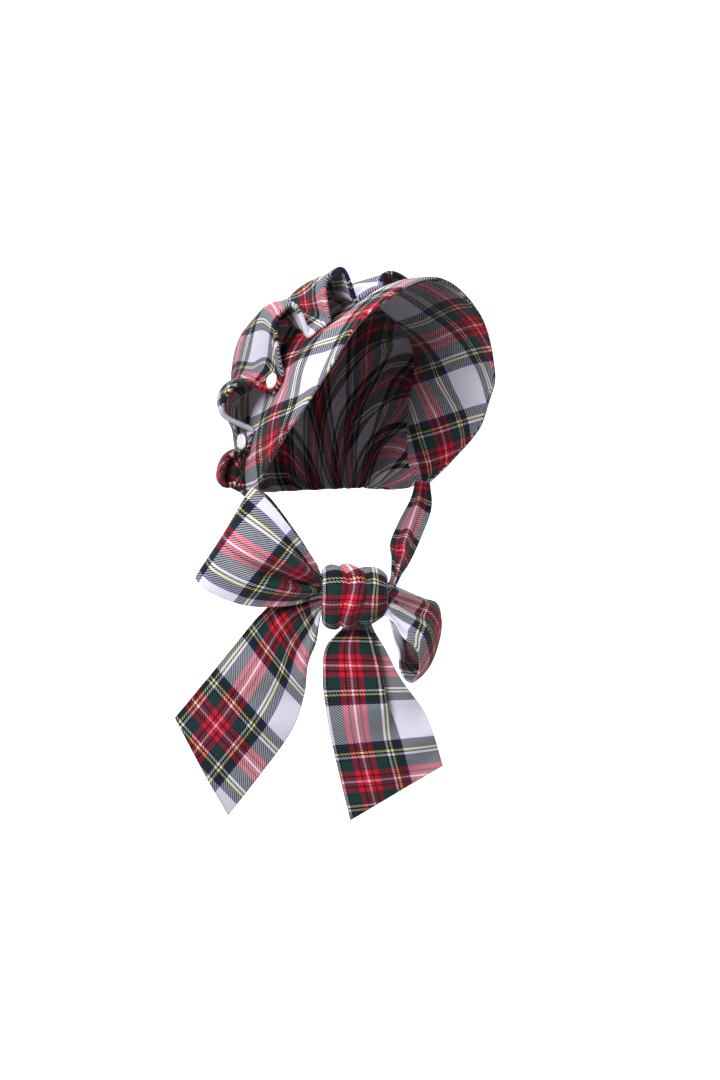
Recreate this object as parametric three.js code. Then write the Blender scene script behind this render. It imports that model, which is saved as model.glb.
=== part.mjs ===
// A child's tartan bonnet: a stiff brim, a soft crown snapped down on it in puffs, and two ties in a bow.
// Millimetres, +Z up. The origin is where the crown of the head sits, the face looks along -Y,
// and the wearer's left is +X.

import * as THREE from 'three';
import { mergeVertices } from 'three/addons/utils/BufferGeometryUtils.js';

// Walls of cloth and the gap that seated pieces keep.
const brimWall = 2.6;
const brimEdgeWall = 3.2;
const crownWall = 1.8;
const crownHemWall = 3.0;
const tieWall = 1.8;
const knotWall = 3.0;
const seatGap = 0.3;

// Brim: outward spring between the crown's hem line and the front edge, the height that it springs
// away from, and the share of its depth where the turned edge begins.
const brimSpring = 3.5;
const brimHeartZ = -90;
const brimEdgeStart = 0.9;
const brimColumns = 44;
const brimDepths = [-1, -0.5, 0, 0.2, 0.4, 0.6, 0.8, 0.94, 1];

// Brim stations from the top centre down to the wearer's left corner: arc along the crown's hem line,
// the point of that line, the point of the front edge, and the depth tucked under the crown.
const brimStations = [
  { arc: 0, hemX: 0, hemY: -45, hemZ: 14, edgeX: 0, edgeY: -105, edgeZ: 23, tuck: 20 },
  { arc: 43, hemX: 38, hemY: -45, hemZ: -5, edgeX: 52, edgeY: -94, edgeZ: -3, tuck: 20 },
  { arc: 83, hemX: 66, hemY: -25, hemZ: -33, edgeX: 79, edgeY: -79, edgeZ: -48, tuck: 18 },
  { arc: 108, hemX: 73, hemY: -17, hemZ: -57, edgeX: 86, edgeY: -63, edgeZ: -71, tuck: 16 },
  { arc: 132, hemX: 79, hemY: 2, hemZ: -80, edgeX: 91, edgeY: -45, edgeZ: -92, tuck: 14 },
  { arc: 170, hemX: 80, hemY: 19, hemZ: -118, edgeX: 87, edgeY: -15, edgeZ: -118, tuck: 6 },
  { arc: 186, hemX: 80, hemY: 22, hemZ: -134, edgeX: 81, edgeY: 4, edgeZ: -134, tuck: 1 },
];
const hemReach = 186;

// Crown sections from the hem back to the nape. Each is an arch on a hinge line through the lower corners:
// its tilt from upright, its height and half width, how square its shoulders are, and where its feet stand.
const crownSections = [
  { back: 0.0, tilt: -24, height: 166, halfWidth: 84, square: 2.4, footY: 22, footZ: -134 },
  { back: 0.2, tilt: -2, height: 154, halfWidth: 84, square: 2.7, footY: 24, footZ: -138 },
  { back: 0.34, tilt: 16, height: 150, halfWidth: 78, square: 2.7, footY: 27, footZ: -141 },
  { back: 0.5, tilt: 37, height: 126, halfWidth: 69, square: 2.2, footY: 32, footZ: -142 },
  { back: 0.72, tilt: 62, height: 82, halfWidth: 61, square: 2.0, footY: 38, footZ: -142 },
  { back: 0.9, tilt: 82, height: 58, halfWidth: 58, square: 2.0, footY: 44, footZ: -142 },
  { back: 1.0, tilt: 94, height: 46, halfWidth: 56, square: 2.0, footY: 47, footZ: -141 },
];

// Crown's length from hem to nape, the share of it that is the rolled hem, the slope at which its
// cloth leaves the brim, the shares over which it lets go of the brim, and the depths of its rows.
const crownLength = 240;
const crownHemShare = 0.02;
const crownSlope = 0.16;
const crownSeatStart = 0.02;
const crownSeatReach = 0.2;
const crownDepths = [0, 0.014, 0.05, 0.1, 0.17, 0.26, 0.37, 0.5, 0.66, 0.84, 1];

// Puffs of the crown's hem, from the wearer's right to the left: place along the hem line, width at the
// foot, reach away from the middle plane, rise, and the share of the depth over which the ridge dies away.
const crownPuffs = [
  { name: 'low_right', arc: -170, foot: 22, out: 19, up: -3, fade: 0.32 },
  { name: 'side_right', arc: -129, foot: 27, out: 30, up: 12, fade: 0.46 },
  { name: 'high_right', arc: -85, foot: 31, out: 8, up: 33, fade: 0.55 },
  { name: 'top_right', arc: -43, foot: 27, out: 3, up: 33, fade: 0.2 },
  { name: 'top', arc: 18, foot: 40, out: 0, up: 13, fade: 0.25 },
  { name: 'top_left', arc: 54, foot: 28, out: 8, up: 18, fade: 0.25 },
  { name: 'high_left', arc: 90, foot: 29, out: 18, up: 20, fade: 0.5 },
  { name: 'side_left', arc: 129, foot: 27, out: 28, up: 9, fade: 0.42 },
  { name: 'low_left', arc: 170, foot: 22, out: 19, up: -3, fade: 0.32 },
];

// How much wider a puff grows towards the nape, how far its walls belly out, the steps across each puff
// and the longest step in a valley.
const puffWidening = 0.9;
const puffBelly = 3.2;
const puffSteps = 10;
const valleyStep = 7;

// Gathers along the nape: how many from the top to a corner, their depth, and where they begin.
const napeGathers = 12;
const napeGatherDepth = 2.6;
const napeGatherStart = 0.6;

// Snap caps in the valleys beside the cheeks, set back from the hem and held off it by the stud's shank.
const snapDiameter = 12.4;
const snapHeight = 2.6;
const snapLift = 1.5;
const snapBack = 0.028;
const snapSides = 14;
const snapValleys = [
  { name: 'snap_right_low', arc: -152.5 },
  { name: 'snap_right_high', arc: -108 },
  { name: 'snap_left_high', arc: 110 },
  { name: 'snap_left_low', arc: 152.5 },
];

// The bow stands under the chin, turned to the wearer's right. Its tables use the bow's own axes:
// right, up and front, measured from the middle of the knot.
const bowPlace = { x: -26, y: -43, z: -215 };
const bowTurn = -36;

// Knot: a band round the bow's right-left axis, one row for each fold and groove along it.
const knotFolds = [
  { right: -25, upRadius: 24, frontRadius: 16 },
  { right: -20, upRadius: 24.6, frontRadius: 17 },
  { right: -13, upRadius: 22.4, frontRadius: 15.4 },
  { right: -4, upRadius: 24.2, frontRadius: 18 },
  { right: 3, upRadius: 22.2, frontRadius: 15.6 },
  { right: 13, upRadius: 23, frontRadius: 16.6 },
  { right: 19, upRadius: 21, frontRadius: 15.4 },
  { right: 24, upRadius: 18.6, frontRadius: 14 },
];
const knotRoundSteps = 24;
const knotLengthSteps = 12;

// Ribbons of the bow and ties. Each row is a section: the two edges a and b of the strip, how far it swells
// off the flat, and the depth of the crease along it or the lap of the pleat.
const loopRight = {
  name: 'bow_loop_right',
  steps: 20,
  across: [0, 0.16, 0.32, 0.46, 0.58, 0.68, 0.78, 0.89, 1],
  creaseAt: 0.68,
  creaseWidth: 0.3,
  rows: [
    { aRight: -14, aUp: 11, aFront: 5.6, bRight: -14, bUp: -5, bFront: 6.4, swell: 0, crease: 0 },
    { aRight: -26, aUp: 18, aFront: 5.6, bRight: -26, bUp: 4, bFront: 6.4, swell: 1, crease: 1 },
    { aRight: -41, aUp: 43, aFront: 16, bRight: -50, bUp: 1, bFront: 18, swell: 6, crease: 10 },
    { aRight: -58, aUp: 67, aFront: 19, bRight: -82, bUp: -2, bFront: 21, swell: 8, crease: 5 },
    { aRight: -72, aUp: 81, aFront: 15, bRight: -110, bUp: 7, bFront: 17, swell: 6, crease: 1 },
    { aRight: -77, aUp: 84, aFront: 7, bRight: -119, bUp: 15, bFront: 8, swell: 0, crease: 0 },
    { aRight: -71, aUp: 80, aFront: 1, bRight: -108, bUp: 12, bFront: 1, swell: -2, crease: 0 },
    { aRight: -56, aUp: 62, aFront: 0, bRight: -76, bUp: 6, bFront: 1, swell: -2, crease: 0 },
    { aRight: -28, aUp: 17, aFront: 2.6, bRight: -28, bUp: 3, bFront: 3, swell: 0, crease: 0 },
    { aRight: -14, aUp: 10, aFront: 2.8, bRight: -14, bUp: -5, bFront: 3.2, swell: 0, crease: 0 },
  ],
};
const loopLeft = {
  name: 'bow_loop_left',
  steps: 20,
  across: [0, 0.15, 0.3, 0.45, 0.6, 0.8, 1],
  creaseAt: 0.45,
  creaseWidth: 0.4,
  rows: [
    { aRight: 13, aUp: -7, aFront: 6.4, bRight: 13, bUp: 9, bFront: 5.6, swell: 0, crease: 0 },
    { aRight: 25.5, aUp: -9, aFront: 6.6, bRight: 25.5, bUp: 10, bFront: 4.6, swell: 0, crease: 0 },
    { aRight: 34, aUp: -29, aFront: 16, bRight: 53, bUp: -4, bFront: -36, swell: 6, crease: 3 },
    { aRight: 45, aUp: -39, aFront: 18, bRight: 64, bUp: -12, bFront: -46, swell: 5, crease: 0 },
    { aRight: 49, aUp: -53, aFront: 14, bRight: 66, bUp: -32, bFront: -54, swell: 3, crease: 0 },
    { aRight: 42, aUp: -63, aFront: 9, bRight: 61, bUp: -50, bFront: -58, swell: 3, crease: 0 },
    { aRight: 34, aUp: -54, aFront: 4, bRight: 48, bUp: -46, bFront: -58, swell: 2, crease: 0 },
    { aRight: 33, aUp: -36, aFront: 3, bRight: 40, bUp: -22, bFront: -44, swell: 0, crease: 0 },
    { aRight: 26, aUp: -10, aFront: 3.2, bRight: 26, bUp: 6, bFront: 1.4, swell: 0, crease: 0 },
    { aRight: 13, aUp: -7, aFront: 3.2, bRight: 13, bUp: 8, bFront: 2.4, swell: 0, crease: 0 },
  ],
};
const tailRight = {
  name: 'bow_tail_right',
  steps: 14,
  across: [0, 0.18, 0.36, 0.5, 0.62, 0.74, 0.87, 1],
  creaseAt: 0.62,
  creaseWidth: 0.3,
  rows: [
    { aRight: -14, aUp: 6, aFront: 0.7, bRight: -14, bUp: -9, bFront: 1, swell: 0, crease: 0 },
    { aRight: -28, aUp: 2, aFront: 0.3, bRight: -26, bUp: -14, bFront: 0.8, swell: 0, crease: 0 },
    { aRight: -53, aUp: 1, aFront: 1, bRight: -30, bUp: -34, bFront: 3, swell: 4, crease: 6 },
    { aRight: -71, aUp: -12, aFront: 3, bRight: -36, bUp: -51, bFront: 5, swell: 4, crease: 4 },
    { aRight: -92, aUp: -37, aFront: 5, bRight: -39, bUp: -76, bFront: 6, swell: 4, crease: 1 },
    { aRight: -114, aUp: -64, aFront: 5, bRight: -52, bUp: -108, bFront: 4, swell: 3, crease: 0 },
    { aRight: -137, aUp: -92, aFront: 3, bRight: -97, bUp: -168, bFront: 0, swell: 2, crease: 0 },
  ],
};
const tailLeft = {
  name: 'bow_tail_left',
  steps: 14,
  across: [0, 0.2, 0.4, 0.5, 0.56, 0.62, 0.68, 0.74, 0.86, 1],
  lapAt: 0.62,
  lapWidth: 0.24,
  lapDepth: 7,
  rows: [
    { aRight: -7, aUp: -9, aFront: -18.4, bRight: 9, bUp: -9, bFront: -17.8, swell: 0, lap: 0 },
    { aRight: -10, aUp: -26, aFront: -17, bRight: 13, bUp: -24, bFront: -18, swell: 0, lap: 10 },
    { aRight: -23, aUp: -41, aFront: -11, bRight: 23, bUp: -41, bFront: -13, swell: 1, lap: 22 },
    { aRight: -25, aUp: -63, aFront: -7, bRight: 35, bUp: -64, bFront: -8, swell: 2, lap: 22 },
    { aRight: -23, aUp: -83, aFront: -5, bRight: 52, bUp: -88, bFront: -7, swell: 2, lap: 8 },
    { aRight: -17, aUp: -117, aFront: -5, bRight: 60, bUp: -107, bFront: -8, swell: 2, lap: 0 },
    { aRight: -4, aUp: -173, aFront: -8, bRight: 67, bUp: -131, bFront: -10, swell: 1, lap: 0 },
  ],
};
const tieRight = {
  name: 'tie_right',
  steps: 10,
  across: [0, 0.2, 0.4, 0.6, 0.8, 1],
  creaseAt: 0.5,
  creaseWidth: 0.6,
  rows: [
    { aRight: -71.6, aUp: 79.4, aFront: -5, bRight: -82, bUp: 79.4, bFront: -20, swell: 0, crease: 0 },
    { aRight: -63, aUp: 73, aFront: -4, bRight: -84, bUp: 62, bFront: -20, swell: 2, crease: 3 },
    { aRight: -46, aUp: 50, aFront: -5, bRight: -70, bUp: 36, bFront: -17, swell: 3, crease: 4 },
    { aRight: -34, aUp: 31, aFront: -6, bRight: -46, bUp: 14, bFront: -11, swell: 2, crease: 3 },
    { aRight: -26, aUp: 13, aFront: -4.6, bRight: -27, bUp: -3, bFront: -5.4, swell: 0, crease: 0 },
    { aRight: -14, aUp: 9, aFront: -4, bRight: -14, bUp: -8, bFront: -3.6, swell: 0, crease: 0 },
  ],
};
const tieLeft = {
  name: 'tie_left',
  steps: 12,
  across: [0, 0.2, 0.4, 0.6, 0.8, 1],
  creaseAt: 0.5,
  creaseWidth: 0.6,
  rows: [
    { aRight: 59, aUp: 79.4, aFront: -100.6, bRight: 48, bUp: 79.4, bFront: -114.4, swell: 0, crease: 0 },
    { aRight: 60, aUp: 60, aFront: -86, bRight: 44, bUp: 66, bFront: -103, swell: -2, crease: 3 },
    { aRight: 51, aUp: 38, aFront: -64, bRight: 34, bUp: 50, bFront: -78, swell: -3, crease: 4 },
    { aRight: 42, aUp: 22, aFront: -40, bRight: 27, bUp: 36, bFront: -52, swell: -3, crease: 4 },
    { aRight: 35, aUp: 14, aFront: -20, bRight: 28, bUp: 27, bFront: -27, swell: -1, crease: 2 },
    { aRight: 26, aUp: 1, aFront: -6, bRight: 26, bUp: 11, bFront: -5.8, swell: 0, crease: 0 },
    { aRight: 13, aUp: -5, aFront: -4, bRight: 13, bUp: 9, bFront: -4.4, swell: 0, crease: 0 },
  ],
};

// Finish of each kind of piece.
const clothFinish = { color: 0xb9b7bd, roughness: 0.9, metalness: 0 };
const snapFinish = { color: 0xf4f2ec, roughness: 0.35, metalness: 0 };

// Value of one column of a table at a place along it, on a smooth curve through the rows.
function along(rows, place, column, at) {
  const last = rows.length - 1;
  let i = 0;
  while (i < last - 1 && at > rows[i + 1][place]) i += 1;
  const slope = (k) => {
    const before = rows[Math.max(k - 1, 0)];
    const after = rows[Math.min(k + 1, last)];
    return (after[column] - before[column]) / (after[place] - before[place]);
  };
  const span = rows[i + 1][place] - rows[i][place];
  const t = THREE.MathUtils.clamp((at - rows[i][place]) / span, 0, 1);
  const t2 = t * t;
  const t3 = t2 * t;
  return (2 * t3 - 3 * t2 + 1) * rows[i][column] + (t3 - 2 * t2 + t) * span * slope(i)
    + (3 * t2 - 2 * t3) * rows[i + 1][column] + (t3 - t2) * span * slope(i + 1);
}

// Bell of height 1 that falls to 0 at half its foot.
function bell(distance, foot) {
  const t = Math.min(Math.abs(distance) / (foot / 2), 1);
  return Math.cos((Math.PI / 2) * t) ** 2;
}

// Closed solid from a grid of cloth: mid-surface points thickened along their normals.
// A ring joins its last column to its first.
function clothWall(columns, rows, pointAt, wallAt, ring = false) {
  const grid = columns.map((u) => rows.map((v) => pointAt(u, v)));
  const count = columns.length;
  const depth = rows.length;
  const column = (i) => (ring ? (i + count) % count : THREE.MathUtils.clamp(i, 0, count - 1));
  const row = (j) => THREE.MathUtils.clamp(j, 0, depth - 1);
  const points = [];
  for (const side of [1, -1]) {
    for (let i = 0; i < count; i += 1) {
      for (let j = 0; j < depth; j += 1) {
        const alongStep = grid[column(i + 1)][j].clone().sub(grid[column(i - 1)][j]);
        const acrossStep = grid[i][row(j + 1)].clone().sub(grid[i][row(j - 1)]);
        const normal = alongStep.cross(acrossStep).normalize();
        const shift = (side * wallAt(columns[i], rows[j])) / 2;
        points.push(grid[i][j].clone().addScaledVector(normal, shift));
      }
    }
  }
  const at = (side, i, j) => side * count * depth + column(i) * depth + j;
  const faces = [];
  const quad = (a, b, c, d) => faces.push(a, b, c, a, c, d);
  const spans = ring ? count : count - 1;
  for (let i = 0; i < spans; i += 1) {
    for (let j = 0; j < depth - 1; j += 1) {
      quad(at(0, i, j), at(0, i + 1, j), at(0, i + 1, j + 1), at(0, i, j + 1));
      quad(at(1, i, j), at(1, i, j + 1), at(1, i + 1, j + 1), at(1, i + 1, j));
    }
    quad(at(0, i + 1, 0), at(0, i, 0), at(1, i, 0), at(1, i + 1, 0));
    quad(at(0, i, depth - 1), at(0, i + 1, depth - 1), at(1, i + 1, depth - 1), at(1, i, depth - 1));
  }
  if (!ring) {
    for (let j = 0; j < depth - 1; j += 1) {
      quad(at(0, 0, j), at(0, 0, j + 1), at(1, 0, j + 1), at(1, 0, j));
      quad(at(0, count - 1, j + 1), at(0, count - 1, j), at(1, count - 1, j), at(1, count - 1, j + 1));
    }
  }
  const geometry = new THREE.BufferGeometry().setFromPoints(points);
  geometry.setIndex(faces);
  return geometry;
}

// Even stops from one end to the other.
function stops(from, to, steps) {
  return Array.from({ length: steps + 1 }, (_, i) => from + ((to - from) * i) / steps);
}

// Brim stations on both sides, the wearer's right as a mirror of the left.
const brimRows = [
  ...brimStations.slice(1).reverse().map((s) => ({ ...s, arc: -s.arc, hemX: -s.hemX, edgeX: -s.edgeX })),
  ...brimStations,
];

// Point of the brim's middle surface: depth 0 on the crown's hem line, 1 on the front edge,
// and -1 on the inner edge tucked under the crown.
function brimPoint(arc, depth) {
  const value = (column) => along(brimRows, 'arc', column, arc);
  const hem = new THREE.Vector3(value('hemX'), value('hemY'), value('hemZ'));
  const edge = new THREE.Vector3(value('edgeX'), value('edgeY'), value('edgeZ'));
  const outward = new THREE.Vector3(hem.x, 0, hem.z - brimHeartZ).normalize();
  const ruling = edge.clone().sub(hem);
  if (depth < 0) return hem.addScaledVector(ruling.normalize(), depth * value('tuck'));
  const spring = 4 * brimSpring * depth * (1 - depth);
  return hem.addScaledVector(ruling, depth).addScaledVector(outward, spring);
}

// Outward normal of the brim on the crown's hem line.
function brimNormal(arc) {
  const step = 0.5;
  const alongHem = brimPoint(arc + step, 0).sub(brimPoint(arc - step, 0));
  const forward = brimPoint(arc, 0.02).sub(brimPoint(arc, 0));
  return alongHem.cross(forward).negate().normalize();
}

// Height of a hem point round the arch, as an angle from the feet to the top.
function archAngle(arc) {
  const hem = brimPoint(arc, 0);
  const front = crownSections[0];
  const rise = Math.hypot(hem.y - front.footY, hem.z - front.footZ) / front.height;
  return Math.atan2(rise, Math.abs(hem.x) / front.halfWidth);
}

// Crown before its puffs: the hem lies on the brim, and the arches behind it carry the bag.
function crownBase(arc, back) {
  const value = (column) => along(crownSections, 'back', column, back);
  const angle = archAngle(arc);
  const square = value('square');
  const reach = (Math.cos(angle) ** square + Math.sin(angle) ** square) ** (-1 / square);
  const rise = value('height') * Math.sin(angle) * reach;
  const tilt = THREE.MathUtils.degToRad(value('tilt'));
  const arch = new THREE.Vector3(
    Math.sign(arc) * value('halfWidth') * Math.cos(angle) * reach,
    value('footY') + rise * Math.sin(tilt),
    value('footZ') + rise * Math.cos(tilt),
  );
  const run = crownLength * back;
  const lift = brimWall / 2 + seatGap + crownHemWall / 2 + crownSlope * run;
  const seat = brimPoint(arc, 0);
  const backward = seat.clone().sub(brimPoint(arc, 1)).normalize();
  seat.addScaledVector(backward, run).addScaledVector(brimNormal(arc), lift);
  return seat.lerp(arch, THREE.MathUtils.smoothstep(back, crownSeatStart, crownSeatReach));
}

// Crown with its puffs and the gathers of the nape.
function crownPoint(arc, back) {
  const point = crownBase(arc, back);
  const side = Math.sign(arc);
  for (const puff of crownPuffs) {
    const fade = 1 - THREE.MathUtils.smoothstep(back, 0, puff.fade);
    const foot = puff.foot * (1 + puffWidening * back);
    const offset = arc - puff.arc;
    const height = bell(offset, foot) * fade;
    const half = Math.min(Math.abs(offset) / (foot / 2), 1);
    const belly = puffBelly * Math.sign(offset) * Math.sin(Math.PI * half) * fade;
    const alongHem = brimPoint(arc + 1, 0).sub(brimPoint(arc - 1, 0)).normalize();
    point.x += side * puff.out * height;
    point.z += puff.up * height;
    point.addScaledVector(alongHem, belly);
  }
  const gather = THREE.MathUtils.smoothstep(back, napeGatherStart, 1);
  const wave = Math.cos((Math.PI * napeGathers * arc) / hemReach);
  const inward = new THREE.Vector3(point.x, point.y - crownSections[0].footY, 0).normalize();
  return point.addScaledVector(inward, napeGatherDepth * gather * wave);
}

// Outward normal of the crown.
function crownNormal(arc, back) {
  const alongHem = crownPoint(arc + 1, back).sub(crownPoint(arc - 1, back));
  const backward = crownPoint(arc, back + 0.01).sub(crownPoint(arc, back));
  return alongHem.cross(backward).normalize();
}

function brimGeometry() {
  const wallAt = (arc, depth) => (depth > brimEdgeStart ? brimEdgeWall : brimWall);
  return clothWall(stops(hemReach, -hemReach, brimColumns), brimDepths, brimPoint, wallAt);
}

function crownGeometry() {
  const arcs = new Set([-hemReach, hemReach]);
  crownPuffs.forEach((puff) => {
    stops(puff.arc - puff.foot / 2, puff.arc + puff.foot / 2, puffSteps).forEach((arc) => arcs.add(arc));
  });
  const feet = [...arcs].sort((a, b) => a - b);
  const columns = feet.slice(1).flatMap((arc, i) => {
    const parts = Math.ceil((arc - feet[i]) / valleyStep);
    return stops(feet[i], arc, parts).slice(1);
  });
  columns.unshift(feet[0]);
  const wallAt = (arc, back) => (back < crownHemShare ? crownHemWall : crownWall);
  return clothWall(columns, crownDepths, crownPoint, wallAt);
}

// Edge a or b of a ribbon at a place along its sections.
function ribbonEdge(rows, edge, section) {
  const value = (axis) => along(rows, 'section', edge + axis, section);
  return new THREE.Vector3(value('Right'), -value('Front'), value('Up'));
}

// Strip of cloth lofted through its sections, swelling off the flat, with a crease or a lapped pleat.
function ribbonGeometry(ribbon) {
  const reach = 0.05;
  const rows = ribbon.rows.map((row, section) => ({ ...row, section }));
  const pointAt = (section, across) => {
    const edgeA = ribbonEdge(rows, 'a', section);
    const edgeB = ribbonEdge(rows, 'b', section);
    const ahead = ribbonEdge(rows, 'a', section + reach).add(ribbonEdge(rows, 'b', section + reach))
      .sub(ribbonEdge(rows, 'a', section - reach)).sub(ribbonEdge(rows, 'b', section - reach));
    const width = edgeA.distanceTo(edgeB);
    const widthwise = edgeB.sub(edgeA).normalize();
    const normal = ahead.cross(widthwise).normalize();
    let place = width * across;
    let rise = along(rows, 'section', 'swell', section) * Math.sin(Math.PI * across);
    if (ribbon.lapAt) {
      const lap = Math.max(along(rows, 'section', 'lap', section), 0);
      const turned = THREE.MathUtils.smoothstep(
        across,
        ribbon.lapAt - ribbon.lapWidth / 2,
        ribbon.lapAt + ribbon.lapWidth / 2,
      );
      place += lap * (across - turned);
      rise += ribbon.lapDepth * Math.min(lap / ribbon.lapDepth, 1) * (0.5 - turned);
    } else {
      const crease = along(rows, 'section', 'crease', section);
      rise -= crease * bell(across - ribbon.creaseAt, ribbon.creaseWidth);
    }
    return edgeA.addScaledVector(widthwise, place).addScaledVector(normal, rise);
  };
  return clothWall(stops(0, rows.length - 1, ribbon.steps), ribbon.across, pointAt, () => tieWall);
}

function knotGeometry() {
  const first = knotFolds[0].right;
  const last = knotFolds[knotFolds.length - 1].right;
  const turns = Array.from({ length: knotRoundSteps }, (_, i) => (2 * Math.PI * i) / knotRoundSteps);
  const pointAt = (turn, right) => new THREE.Vector3(
    right,
    -(along(knotFolds, 'right', 'frontRadius', right) - knotWall / 2) * Math.cos(turn),
    (along(knotFolds, 'right', 'upRadius', right) - knotWall / 2) * Math.sin(turn),
  );
  return clothWall(turns, stops(first, last, knotLengthSteps), pointAt, () => knotWall, true);
}

// Low domed cap with a rounded rim, turned about its own axis.
function snapGeometry() {
  const radius = snapDiameter / 2;
  const profile = new THREE.CatmullRomCurve3([
    new THREE.Vector3(radius * 0.94, 0, 0),
    new THREE.Vector3(radius, snapHeight * 0.35, 0),
    new THREE.Vector3(radius * 0.86, snapHeight * 0.78, 0),
    new THREE.Vector3(radius * 0.45, snapHeight * 0.97, 0),
    new THREE.Vector3(0, snapHeight, 0),
  ]).getPoints(5).map((p) => new THREE.Vector2(Math.max(p.x, 0), p.y));
  profile[profile.length - 1].x = 0;
  const lathe = new THREE.LatheGeometry([new THREE.Vector2(0, 0), ...profile], snapSides);
  lathe.deleteAttribute('normal');
  lathe.deleteAttribute('uv');
  return mergeVertices(lathe, 1e-3);
}

function clothMesh(name, geometry) {
  const mesh = new THREE.Mesh(geometry, new THREE.MeshStandardMaterial(clothFinish));
  mesh.name = name;
  return mesh;
}

function snapMesh(valley) {
  const mesh = new THREE.Mesh(snapGeometry(), new THREE.MeshStandardMaterial(snapFinish));
  const normal = crownNormal(valley.arc, snapBack);
  mesh.name = valley.name;
  mesh.position.copy(crownPoint(valley.arc, snapBack));
  mesh.position.addScaledVector(normal, crownWall / 2 + seatGap + snapLift);
  mesh.quaternion.setFromUnitVectors(new THREE.Vector3(0, 1, 0), normal);
  return mesh;
}

const bow = new THREE.Group();
bow.position.set(bowPlace.x, bowPlace.y, bowPlace.z);
bow.rotation.z = THREE.MathUtils.degToRad(bowTurn);
bow.add(
  clothMesh('bow_knot', knotGeometry()),
  ...[loopRight, loopLeft, tailRight, tailLeft, tieRight, tieLeft].map(
    (ribbon) => clothMesh(ribbon.name, ribbonGeometry(ribbon)),
  ),
);

const bonnet = new THREE.Group();
bonnet.add(
  clothMesh('brim', brimGeometry()),
  clothMesh('crown', crownGeometry()),
  ...snapValleys.map(snapMesh),
  bow,
);

export default bonnet;
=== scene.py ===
import math
import bpy
import numpy as np
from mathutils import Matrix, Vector


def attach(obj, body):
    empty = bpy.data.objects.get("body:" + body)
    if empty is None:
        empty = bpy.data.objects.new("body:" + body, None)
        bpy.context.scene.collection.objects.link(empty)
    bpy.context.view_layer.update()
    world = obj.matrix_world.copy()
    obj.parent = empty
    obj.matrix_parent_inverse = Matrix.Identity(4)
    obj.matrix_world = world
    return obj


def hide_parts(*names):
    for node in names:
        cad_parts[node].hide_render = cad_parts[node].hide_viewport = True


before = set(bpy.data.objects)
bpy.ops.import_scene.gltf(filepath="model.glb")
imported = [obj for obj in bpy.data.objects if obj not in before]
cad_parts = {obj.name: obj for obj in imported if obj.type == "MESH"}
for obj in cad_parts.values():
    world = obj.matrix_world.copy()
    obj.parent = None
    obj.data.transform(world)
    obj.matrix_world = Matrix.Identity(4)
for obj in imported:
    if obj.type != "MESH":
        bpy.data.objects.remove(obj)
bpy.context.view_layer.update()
print("frame loaded:", len(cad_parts), "solids")

mm = 0.001  # every table below is in millimetres


# camera at the photograph's angle: turned to the wearer's right, a little above the brim's middle
view = dict(azimuth=-36, elevation=5.5, distance=1800, lens=77.4, sensor=36, aside=7.75, height=-176.7)


def placeCamera(view):
    turn, rise = math.radians(view["azimuth"]), math.radians(view["elevation"])
    back = Vector((math.sin(turn) * math.cos(rise), -math.cos(turn) * math.cos(rise), math.sin(rise)))
    right = Vector((math.cos(turn), math.sin(turn), 0))
    target = (right * view["aside"] + Vector((0, 0, view["height"]))) * mm
    lens = bpy.data.cameras.new("photoCamera")
    lens.lens = view["lens"]
    lens.sensor_width = view["sensor"]
    camera = bpy.data.objects.new("photoCamera", lens)
    camera.location = target + back * view["distance"] * mm
    camera.rotation_euler = (-back).to_track_quat("-Z", "Y").to_euler()
    bpy.context.scene.collection.objects.link(camera)
    bpy.context.scene.camera = camera


placeCamera(view)
print("camera placed")


# shader maths: a wire is one socket, and sums of wires add their nodes
class Wire:
    def __init__(self, tree, socket=None):
        self.tree = tree
        self.socket = socket

    def node(self, kind, settings=None, inputs=None, out=0):
        made = self.tree.nodes.new(kind)
        for key, value in (settings or {}).items():
            if key == "stops":
                ramp = made.color_ramp
                ramp.interpolation = "CONSTANT"
                while len(ramp.elements) < len(value):
                    ramp.elements.new(1)
                for stop, (place, colour) in zip(ramp.elements, value):
                    stop.position = place
                    stop.color = (*colour, 1)
            else:
                setattr(made, key, value)
        for key, value in (inputs or {}).items():
            if isinstance(value, Wire):
                self.tree.links.new(value.socket, made.inputs[key])
            else:
                made.inputs[key].default_value = value
        return Wire(self.tree, made.outputs[out]) if len(made.outputs) else None

    def also(self, out):  # another output of the same node
        return Wire(self.tree, self.socket.node.outputs[out])

    def sum(self, operation, first, second=0.0):
        return self.node("ShaderNodeMath", dict(operation=operation), {0: first, 1: second})

    def __add__(self, other):
        return self.sum("ADD", self, other)

    def __radd__(self, other):
        return self.sum("ADD", other, self)

    def __sub__(self, other):
        return self.sum("SUBTRACT", self, other)

    def __rsub__(self, other):
        return self.sum("SUBTRACT", other, self)

    def __mul__(self, other):
        return self.sum("MULTIPLY", self, other)

    def __rmul__(self, other):
        return self.sum("MULTIPLY", other, self)

    def __truediv__(self, other):
        return self.sum("DIVIDE", self, other)

    def __mod__(self, other):
        return self.sum("FLOORED_MODULO", self, other)

    def __lt__(self, other):
        return self.sum("LESS_THAN", self, other)

    def floor(self):
        return self.sum("FLOOR", self)

    def sine(self):
        return self.sum("SINE", self)

    def size(self):
        return self.sum("ABSOLUTE", self)

    def blend(self, kind, share, first, second):  # share is how much of the second colour
        return self.node("ShaderNodeMix", dict(data_type="RGBA", blend_type=kind),
                         {0: share, 6: first, 7: second}, out=2)


def dye(red, green, blue):  # eight-bit colour as the eye sees it, made linear
    return tuple((c / 255) ** 2.2 for c in (red, green, blue))


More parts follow.
